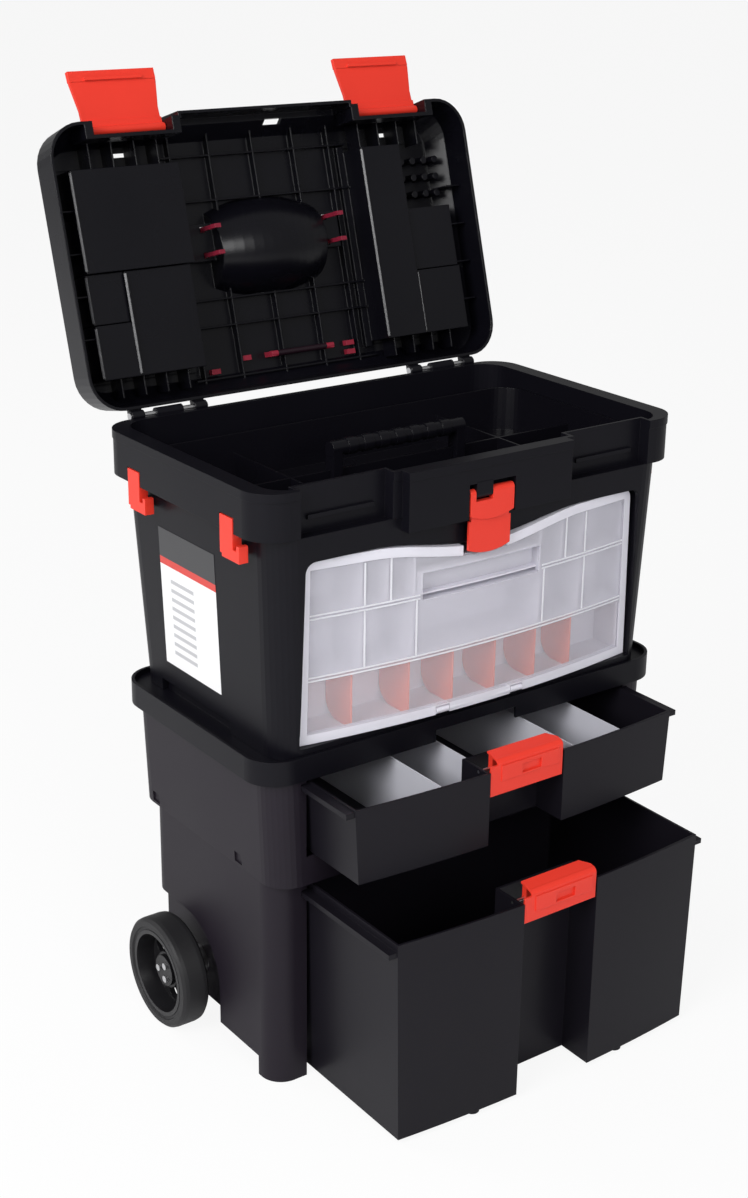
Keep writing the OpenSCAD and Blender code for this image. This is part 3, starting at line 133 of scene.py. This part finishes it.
def lamp(name, place, aim, power, size):
    """A square soft lamp at its place, turned to what it aims at."""
    light = bpy.data.lights.new(name, "AREA")
    light.energy, light.size = power, size
    made = bpy.data.objects.new(name, light)
    made.location = place
    made.rotation_euler = (Vector(aim) - Vector(place)).to_track_quat("-Z", "Y").to_euler()
    bpy.context.scene.collection.objects.link(made)


lamp("key lamp", place=(-3.1, -1.0, 2.4), aim=(0, 0, 0.4), power=120, size=2.0)
lamp("front lamp", place=(-0.6, -3.4, 2.2), aim=(0, 0, 0.4), power=52, size=1.6)
lamp("back lamp", place=(-1.8, 2.6, 2.4), aim=(0, 0, 0.5), power=30, size=1.8)

# ---- Camera ----
# The camera stands to the left of the chest's front and looks down on it, from the place that was
# fitted to the photograph, with a slight roll.
azimuth, elevation, roll = (math.radians(angle) for angle in (36.17, 20.71, 0.71))
target = Vector((-0.01069, 0.01536, 0.39772))
distance = 1.80702
back = Vector((-math.sin(azimuth) * math.cos(elevation), -math.cos(azimuth) * math.cos(elevation),
               math.sin(elevation)))
right = (-back).cross(Vector((0, 0, 1))).normalized()
up = right.cross(-back)
side = right * math.cos(roll) + up * math.sin(roll)
top = up * math.cos(roll) - right * math.sin(roll)
place = target + back * distance
lens = bpy.data.cameras.new("camera")
lens.lens, lens.sensor_width = 56.40, 36
camera = bpy.data.objects.new("camera", lens)
bpy.context.scene.collection.objects.link(camera)
camera.matrix_world = Matrix([[side[i], top[i], back[i], place[i]] for i in range(3)]
                             + [[0, 0, 0, 1]])
bpy.context.scene.camera = camera

# ---- Lower chest ----
# Two shells of black polypropylene, injection moulded with a fine leathery grain. They snap
# together at the seam.


def mixed(finish, mask, off, on):
    """A colour that changes from off to on with the mask; each is a value or a plain colour."""
    off, on = (colour if isinstance(colour, Value) else (*colour, 1) for colour in (off, on))
    return finish.node("ShaderNodeMix", {"data_type": "RGBA"}, {0: mask, 6: off, 7: on}, output=2)


def moulded(name, colour, shade, rough, grain, depth, edge=0.0007, shine=0.32):
    """Moulded plastic: slightly uneven colour and gloss, fine grain and softened edges."""
    gloss_spread = 0.12
    made = Finish(name)
    at = made.node("ShaderNodeTexCoord", output=3)
    cloud = made.node("ShaderNodeTexNoise", None, {"Vector": at, "Scale": 9.0, "Detail": 3.0})
    soft = made.node("ShaderNodeBevel", {"samples": 4}, {"Radius": edge})
    speck = made.node("ShaderNodeTexNoise", None, {"Vector": at, "Scale": grain, "Detail": 2.0})
    bump = made.node("ShaderNodeBump", None,
                     {"Strength": 0.35, "Distance": depth, "Height": speck, "Normal": soft})
    made.set(Base_Color=mixed(made, cloud, colour, shade), Normal=bump, Specular_IOR_Level=shine,
             Roughness=cloud * gloss_spread + (rough - gloss_spread / 2))
    return made


def dress(finish, *nodes):
    """Each named node of the model gets the finish in place of its own."""
    for node in nodes:
        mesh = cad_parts[node].data
        mesh.materials.clear()
        mesh.materials.append(finish.material)


grained_black = moulded("grained black", (0.0095, 0.0072, 0.0115), (0.0125, 0.0092, 0.015),
                        rough=0.45, grain=1500.0, depth=0.00018, shine=0.2)
dress(grained_black, "lower_shell", "upper_shell")

# ---- Top box and chest cover ----
# The top box is a tub of the same black plastic, with a skirt under its rim that stiffens it. It
# and the cover of the chest, on which it stands, are glossier than the chest's sides.
box_black = moulded("box black", (0.004, 0.0038, 0.006), (0.0052, 0.0048, 0.0076),
                    rough=0.36, grain=1500.0, depth=0.00015, shine=0.14)
dress(box_black, "top_box", "chest_cover")

# ---- Lid ----
# The lid is one moulding with wells in its top for small parts, under two hinged covers. Seen
# from inside it shows the wells' floors, thin stiffening webs and the barrel of the trough.
lid_black = moulded("lid black", (0.0026, 0.0025, 0.0044), (0.0034, 0.0032, 0.0054),
                    rough=0.28, grain=1300.0, depth=0.0001, edge=0.0014, shine=0.3)
dress(lid_black, "lid_shell", "lid_cover_left", "lid_cover_right")
hinge_place = Vector((0, 0.139, 0.579))
lid_angle = math.radians(106.2)
lid_turn = Matrix.Translation(hinge_place) @ Matrix.Rotation(-lid_angle, 4, "X") \
    @ Matrix.Translation(-hinge_place)
mm = 0.001


def row_tree(round_ones):
    """Geometry Nodes: rows of small blocks or studs, with their sizes as inputs."""
    stud_sides = 20
    tree = bpy.data.node_groups.new("rows of studs" if round_ones else "rows of ribs",
                                    "GeometryNodeTree")
    sockets = tree.interface
    sockets.new_socket("Geometry", in_out="OUTPUT", socket_type="NodeSocketGeometry")
    for name, kind in (("Count", "Int"), ("Rows", "Int"), ("First", "Vector"), ("Step", "Vector"),
                       ("Row step", "Vector"), ("Size", "Vector"), ("Finish", "Material")):
        sockets.new_socket(name, in_out="INPUT", socket_type="NodeSocket" + kind)
    given = tree.nodes.new("NodeGroupInput").outputs
    result = tree.nodes.new("NodeGroupOutput")

    def add(kind, links, **settings):
        made = tree.nodes.new(kind)
        for key, value in settings.items():
            setattr(made, key, value)
        for name, source in links.items():
            tree.links.new(source, made.inputs[name])
        return made.outputs

    line = add("GeometryNodeMeshLine", {"Count": given["Count"], "Start Location": given["First"],
                                        "Offset": given["Step"]}, mode="OFFSET")
    starts = add("GeometryNodeMeshLine", {"Count": given["Rows"], "Offset": given["Row step"]},
                 mode="OFFSET")
    grid = add("GeometryNodeInstanceOnPoints", {"Points": starts["Mesh"],
                                                "Instance": line["Mesh"]})
    points = add("GeometryNodeRealizeInstances", {"Geometry": grid["Instances"]})
    if round_ones:
        shape = tree.nodes.new("GeometryNodeMeshCylinder")
        shape.inputs["Vertices"].default_value = stud_sides
        split = add("ShaderNodeSeparateXYZ", {"Vector": given["Size"]})
        tree.links.new(split["X"], shape.inputs["Radius"])
        tree.links.new(split["Z"], shape.inputs["Depth"])
        form = shape.outputs["Mesh"]
    else:
        form = add("GeometryNodeMeshCube", {"Size": given["Size"]})["Mesh"]
    many = add("GeometryNodeInstanceOnPoints", {"Points": points["Geometry"], "Instance": form})
    solid = add("GeometryNodeRealizeInstances", {"Geometry": many["Instances"]})
    painted = add("GeometryNodeSetMaterial", {"Geometry": solid["Geometry"],
                                              "Material": given["Finish"]})
    tree.links.new(painted["Geometry"], result.inputs["Geometry"])
    return tree


trees = {round_ones: row_tree(round_ones) for round_ones in (False, True)}


def settle(mesh, name, body, finish, turn=None):
    """A finished mesh becomes a piece: turned into place, painted and put on its body."""
    if turn is not None:
        mesh.transform(turn)
    if not mesh.materials:
        mesh.materials.append(finish.material)
    made = bpy.data.objects.new(name, mesh)
    bpy.context.scene.collection.objects.link(made)
    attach(made, body)


def rows_in_lid(name, first, step, count, size, row_step=(0, 0, 0), row_count=1,
                round_ones=False):
    """Rows of webs or studs in the lid, in millimetres and placed as if the lid were closed."""
    blank = bpy.data.objects.new("rows", bpy.data.meshes.new("rows"))
    bpy.context.scene.collection.objects.link(blank)
    modifier = blank.modifiers.new("rows", "NODES")
    modifier.node_group = trees[round_ones]
    lengths = {"First": first, "Step": step, "Row step": row_step, "Size": size}
    given = {key: [length * mm for length in value] for key, value in lengths.items()}
    given.update({"Count": count, "Rows": row_count, "Finish": lid_black.material})
    for item in modifier.node_group.interface.items_tree:
        if item.in_out == "INPUT":
            modifier[item.identifier] = given[item.name]
    bpy.context.view_layer.update()
    ready = blank.evaluated_get(bpy.context.evaluated_depsgraph_get())
    mesh = bpy.data.meshes.new_from_object(ready)
    mesh.name = name
    bpy.data.objects.remove(blank)
    settle(mesh, name, "lid", lid_black, lid_turn)


# sockets for driver bits, beside the right wells
rows_in_lid("bit_sockets", first=(171, -73, 617.6), step=(14.3, 0, 0), count=4,
            size=(3.6, 3.6, 20), row_step=(-1.5, 17, 0), row_count=3, round_ones=True)
# webs between the wells and the lid's walls; the side webs start at side_y
web_t = 1.4
for hand, sign, side_y in (("left", -1, -53), ("right", 1, -43)):
    rows_in_lid(f"lid_side_webs_{hand}", first=(sign * 222, side_y, 607), step=(0, 39, 0),
                count=4, size=(17, web_t, 24))
    rows_in_lid(f"lid_front_webs_{hand}", first=(sign * 116, -101, 609), step=(sign * 24, 0, 0),
                count=4, size=(web_t, 25, 22))
    rows_in_lid(f"lid_back_webs_{hand}", first=(sign * 122, 112, 609), step=(sign * 24, 0, 0),
                count=4, size=(web_t, 19, 22))


def form_mesh(name, forms):
    """One mesh of several closed forms, each with its corners in millimetres and its faces."""
    corners, faces = [], []
    for form_corners, form_faces in forms:
        faces += [tuple(c + len(corners) for c in face) for face in form_faces]
        corners += [tuple(length * mm for length in corner) for corner in form_corners]
    mesh = bpy.data.meshes.new(name)
    mesh.from_pydata(corners, [], faces)
    return mesh


# bevelled beads along the wells' left edges, which catch the light
bead_r, bead_end_gap = 1.7, 2
bead_faces = [(j, 4 + j, 4 + (j + 1) % 4, (j + 1) % 4) for j in range(4)]
bead_faces += [(0, 1, 2, 3), (7, 6, 5, 4)]
beads = []
for x, y0, y1, z in ((-214, -89, 5, 590.4), (-214, 6, 52, 594.4), (-214, 53, 103, 591.9),
                     (-175, 6, 103, 591.4), (111, -89, 103, 590.4), (159, -24, 38, 594.4),
                     (159, 39, 103, 591.9)):
    ring = ((x + bead_r, z), (x, z + bead_r), (x - bead_r, z), (x, z - bead_r))
    beads.append(([(across, y, height) for y in (y0 + bead_end_gap, y1 - bead_end_gap)
                   for across, height in ring], bead_faces))
# the beads' black is several times lighter than the lid's, a painted highlight on the wells' edges
bead_highlight_black = moulded("bead painted highlight", (0.03, 0.03, 0.034), (0.022, 0.022, 0.026),
                     rough=0.36, grain=300.0, depth=0.0003, shine=0.9)
settle(form_mesh("well_edges", beads), "well_edges", "lid", bead_highlight_black, lid_turn)

# ---- Red fittings ----
# Latches, clasp, hooks, levers, button, clips and carry handle are moulded in red plastic, with
# a finer grain than the black parts.
bright_red, bright_shade = (0.80, 0.045, 0.025), (0.74, 0.036, 0.02)
red_plastic = moulded("red plastic", bright_red, bright_shade,
                      rough=0.34, grain=1900.0, depth=0.00008, edge=0.0006)
dress(red_plastic, "lid_latch_left", "lid_latch_right", "clasp_lever", "clasp_tongue",
      "side_hook_left_front", "side_hook_left_back", "side_hook_right_front",
      "side_hook_right_back", "small_latch", "big_latch", "grip_button")


def object_axes(finish, axes):
    """The object coordinates of the surface along the named axes, in metres."""
    at = finish.node("ShaderNodeTexCoord", output=3)
    return [finish.node("ShaderNodeSeparateXYZ", None, {"Vector": at}, output="XYZ".index(axis))
            for axis in axes]


# the clips are of a darker red, and the rod between two of them is nearly black
rod_left, rod_right = -0.009, 0.049
dark_red = (0.26, 0.016, 0.035)
clip_red = moulded("clip red", dark_red, (0.2, 0.012, 0.028),
                   rough=0.36, grain=1900.0, depth=0.00008, edge=0.0006)
clip_x = object_axes(clip_red, "X")[0]
on_rod = (clip_x > rod_left) * (clip_x < rod_right)
clip_red.set(Base_Color=mixed(clip_red, on_rod, dark_red, (0.012, 0.004, 0.008)))
dress(clip_red, "lid_clips")

# painted shade: the carry handle's legs are darker where they stand down in the lid and the shade
# falls on them, under this height from the hinge
leg_shade_z = 0.042
grip_red = moulded("grip red", bright_red, bright_shade,
                   rough=0.34, grain=1900.0, depth=0.00008, edge=0.0006)
grip_y, grip_z = object_axes(grip_red, "YZ")
closed_z = (grip_y - hinge_place.y) * math.sin(lid_angle) \
    + (grip_z - hinge_place.z) * math.cos(lid_angle)
# the darker red is the legs' painted shade
grip_red.set(Base_Color=mixed(grip_red, closed_z < leg_shade_z, (0.78, 0.042, 0.024),
                              (0.2, 0.012, 0.03)))
dress(grip_red, "carry_handle")

# ---- Tray ----
# The lift-out tray and its bar are the same black plastic, thinner and a little glossier. The
# bar has rings moulded on it for the fingers.
tray_black = moulded("tray black", (0.0035, 0.0032, 0.0052), (0.0045, 0.0041, 0.0064),
                     rough=0.28, grain=1300.0, depth=0.0001, shine=0.22)
dress(tray_black, "tray", "tray_handle")

# ---- Organiser ----
# The organiser is a case of milky see-through plastic behind a bowed cover of the same, framed
# by a smooth border. Its lowest row has loose orange dividers.


def milky(name, colour, alpha, rough):
    """Moulded plastic that lets a part of the light through."""
    shade = tuple(part * 0.97 for part in colour)
    made = moulded(name, colour, shade, rough, grain=700.0, depth=0.00008, edge=0.0006, shine=0.45)
    made.set(Alpha=alpha)
    return made


case_milk = milky("milky case", (0.78, 0.76, 0.84), alpha=0.92, rough=0.4)
dress(case_milk, "organiser_case")

# the cover's border is thicker and whiter than its panel, along the dip in its upper edge too,
# and the panel is clearest over the lowest row
panel_alpha, border_alpha, low_row_alpha = 0.3, 0.5, -0.1
border_top, border_bottom, low_row_top = 0.502, 0.351, 0.399
dip_half, dip_depth = 0.125, 0.007
side_half, side_top, side_lean = 0.1785, 0.511, 0.0035 / 0.169
cover_milk = milky("milky cover", (0.86, 0.85, 0.93), panel_alpha, rough=0.32)
across, height = object_axes(cover_milk, "XZ")
aside = across.maths("ABSOLUTE", across)
dip = (across.maths("COSINE", across * (math.pi / dip_half)) + 1) * dip_depth * (aside < dip_half)
over_side = aside > (side_half + (side_top - height) * side_lean)
over_top = height > (border_top - dip)
border = over_side.maths("MAXIMUM", over_side, over_top)
border = border.maths("MAXIMUM", border, height < border_bottom)
low_row = (height < low_row_top) * (border < 0.5)
cover_milk.set(Alpha=border * border_alpha + low_row * low_row_alpha + panel_alpha)
dress(cover_milk, "organiser_cover")

orange_plastic = moulded("orange plastic", (0.85, 0.15, 0.05), (0.80, 0.13, 0.045),
                         rough=0.4, grain=1200.0, depth=0.00008)
dress(orange_plastic, "organiser_dividers")

# the cover's front is an arc, cover_half to each side of its middle at cover_front and cover_bow
# deep, in millimetres
cover_front, cover_half, cover_bow = -137.0, 189.25, 15.0
cover_radius = cover_half ** 2 / (2 * cover_bow) + cover_bow / 2


def bowed_strip(x0, x1, z, height, inset, thick, steps=24):
    """Corners and faces of a thin strip that follows the bow of the organiser's cover."""
    corners, faces = [], []
    for i in range(steps + 1):
        x = x0 + (x1 - x0) * i / steps
        for depth in (inset, inset + thick):
            y = cover_front + cover_radius - math.sqrt((cover_radius - depth) ** 2 - x * x)
            corners += [(x, y, z + h) for h in (-height / 2, height / 2)]
    for i in range(steps):
        a, b = 4 * i, 4 * i + 4
        for j, k in ((0, 1), (1, 3), (3, 2), (2, 0)):
            faces.append((a + j, b + j, b + k, a + k))
    faces += [(0, 1, 3, 2), (4 * steps, 4 * steps + 2, 4 * steps + 3, 4 * steps + 1)]
    return corners, faces


# raised lines on the cover where the walls between the cells show: level ones, then upright ones
level_h, upright_half = 1.3, 0.8
strips = [bowed_strip(-182, 182, z, level_h, inset=0.5, thick=1.0) for z in (400.4, 403.6)]
strips += [bowed_strip(x0, x1, z, level_h, inset=0.5, thick=1.0)
           for z in (457.4, 460.6) for x0, x1 in ((-180, -70), (70, 180))]
for z, line_h, places in ((481, 39, (-126, -100, 100, 126)), (430.5, 52, (-126, -73, 73, 126))):
    strips += [bowed_strip(x - upright_half, x + upright_half, z, line_h, inset=0.7, thick=0.8,
                           steps=1) for x in places]
line_milk = milky("milky lines", (0.92, 0.92, 0.97), alpha=0.7, rough=0.35)
settle(form_mesh("organiser_lines", strips), "organiser_lines", "organiser_door",
       line_milk)

# pocket behind the finger slot: a bowed back, a floor, a roof and two ends
pocket_half, pocket_z, pocket_skin = 68, 467.5, 1.2
pocket_floor, pocket_roof, pocket_end, pocket_inset, pocket_deep = 454.2, 480.8, 68.2, 3.2, 11
pocket = [bowed_strip(-pocket_half, pocket_half, pocket_z, 26, inset=13, thick=pocket_skin)]
pocket += [bowed_strip(-pocket_half, pocket_half, z, pocket_skin, inset=pocket_inset,
                       thick=pocket_deep) for z in (pocket_floor, pocket_roof)]
pocket += [bowed_strip(x - pocket_skin / 2, x + pocket_skin / 2, pocket_z, 27,
                       inset=pocket_inset, thick=pocket_deep, steps=1)
           for x in (-pocket_end, pocket_end)]
pocket_milk = milky("milky pocket", (0.72, 0.71, 0.78), alpha=0.7, rough=0.4)
settle(form_mesh("finger_pocket", pocket), "finger_pocket", "organiser_door",
       pocket_milk)

# ---- Drawers ----
# The drawers' fronts are moulded smooth and glossy, and plain. Thin grey dividers stand in the
# small drawer and part it.
drawer_black = moulded("drawer black", (0.0065, 0.0058, 0.0085), (0.0085, 0.0074, 0.011),
                       rough=0.34, grain=900.0, depth=0.00006, shine=0.16)
dress(drawer_black, "small_drawer", "big_drawer")
grey_plastic = moulded("divider grey", (0.55, 0.55, 0.60), (0.5, 0.5, 0.56),
                       rough=0.4, grain=900.0, depth=0.00006)
dress(grey_plastic, "small_drawer_dividers")

# ---- Wheels ----
# Each wheel is a black hub with a soft tyre pressed on. It turns on a stub axle of steel, and a
# cap with three screws holds it.
wheel_black = moulded("wheel black", (0.007, 0.0068, 0.008), (0.009, 0.0086, 0.01),
                      rough=0.34, grain=1200.0, depth=0.0001)
dress(wheel_black, "wheel_left", "wheel_right", "wheel_cap_left", "wheel_cap_right")
tyre_rubber = moulded("tyre rubber", (0.010, 0.0098, 0.011), (0.014, 0.0135, 0.015),
                      rough=0.5, grain=700.0, depth=0.0002, edge=0.0012)
dress(tyre_rubber, "tyre_left", "tyre_right")

# ---- Steel parts ----
# All pins, the stub axles and the screws are of one drawn steel, with a finish that is a little
# uneven.
steel_rough, steel_spread = 0.2, 0.2
steel = Finish("drawn steel")
steel_at = steel.node("ShaderNodeTexCoord", output=3)
steel_cloud = steel.node("ShaderNodeTexNoise", None, {"Vector": steel_at, "Scale": 60.0})
steel.set(Base_Color=(0.62, 0.62, 0.63, 1), Metallic=1.0,
          Roughness=steel_cloud * steel_spread + steel_rough)
dress(steel, "hinge_pin_left", "hinge_pin_right", "latch_pin_left", "latch_pin_right",
      "cover_pins", "clasp_pin", "organiser_pins", "small_latch_pins", "big_latch_pins",
      "wheel_axles", "wheel_screws", "bracket_screws")

# ---- Pull handle ----
# Steel tubes slide in each other behind the chest. A black yoke carries the second stage, and
# the grip is black with a red button.
dress(steel, "guide_tubes", "stage_tubes", "grip_tubes")
dress(grained_black, "guide_foot", "guide_collar", "stage_yoke", "pull_grip")

# ---- Side label ----
# A plain paper sticker on the left side of the top box. It is white with one dark and one red
# band and pale bars, and has no words.
red_band_low, red_band_high = 0.463, 0.470
bars_low, bars_high, bars_front, bars_back = 0.375, 0.455, 0.005, 0.045
bar_level = 0.62
paper, ink = (0.78, 0.78, 0.79), (0.45, 0.45, 0.47)
label_finish = Finish("plain sticker")
label_at = label_finish.node("ShaderNodeTexCoord", output=3)
label_y, label_z = object_axes(label_finish, "YZ")
stripes = label_finish.node("ShaderNodeTexWave", {"wave_type": "BANDS", "bands_direction": "Z"},
                            {"Vector": label_at, "Scale": 36.0}, output=1) > bar_level
bars = stripes * (label_y < bars_back) * (label_y > bars_front) * (label_z < bars_high) \
    * (label_z > bars_low)
red_band = (label_z > red_band_low) * (label_z < red_band_high)
printed = mixed(label_finish, bars, paper, ink)
printed = mixed(label_finish, red_band, printed, (0.6, 0.04, 0.03))
printed = mixed(label_finish, label_z > red_band_high, printed, (0.03, 0.03, 0.033))
label_finish.set(Base_Color=printed, Roughness=0.3)
# the wall leans out, so its half width goes from half_low at wall_low to half_high at wall_high
wall_low, wall_high, half_low, half_high = 331.3, 536.0, 212.0, 220.0
wall_lean = (half_high - half_low) / (wall_high - wall_low)
label_corners = [(-(half_low + wall_lean * (z - wall_low) + lift), y, z)
                 for y, z in ((-34, 365), (62, 365), (62, 498), (-34, 498)) for lift in (0.05, 0.3)]
label_faces = [(0, 2, 4, 6), (7, 5, 3, 1), (0, 1, 3, 2), (2, 3, 5, 4), (4, 5, 7, 6), (6, 7, 1, 0)]
settle(form_mesh("side_label", [(label_corners, label_faces)]), "side_label", "box",
       label_finish)
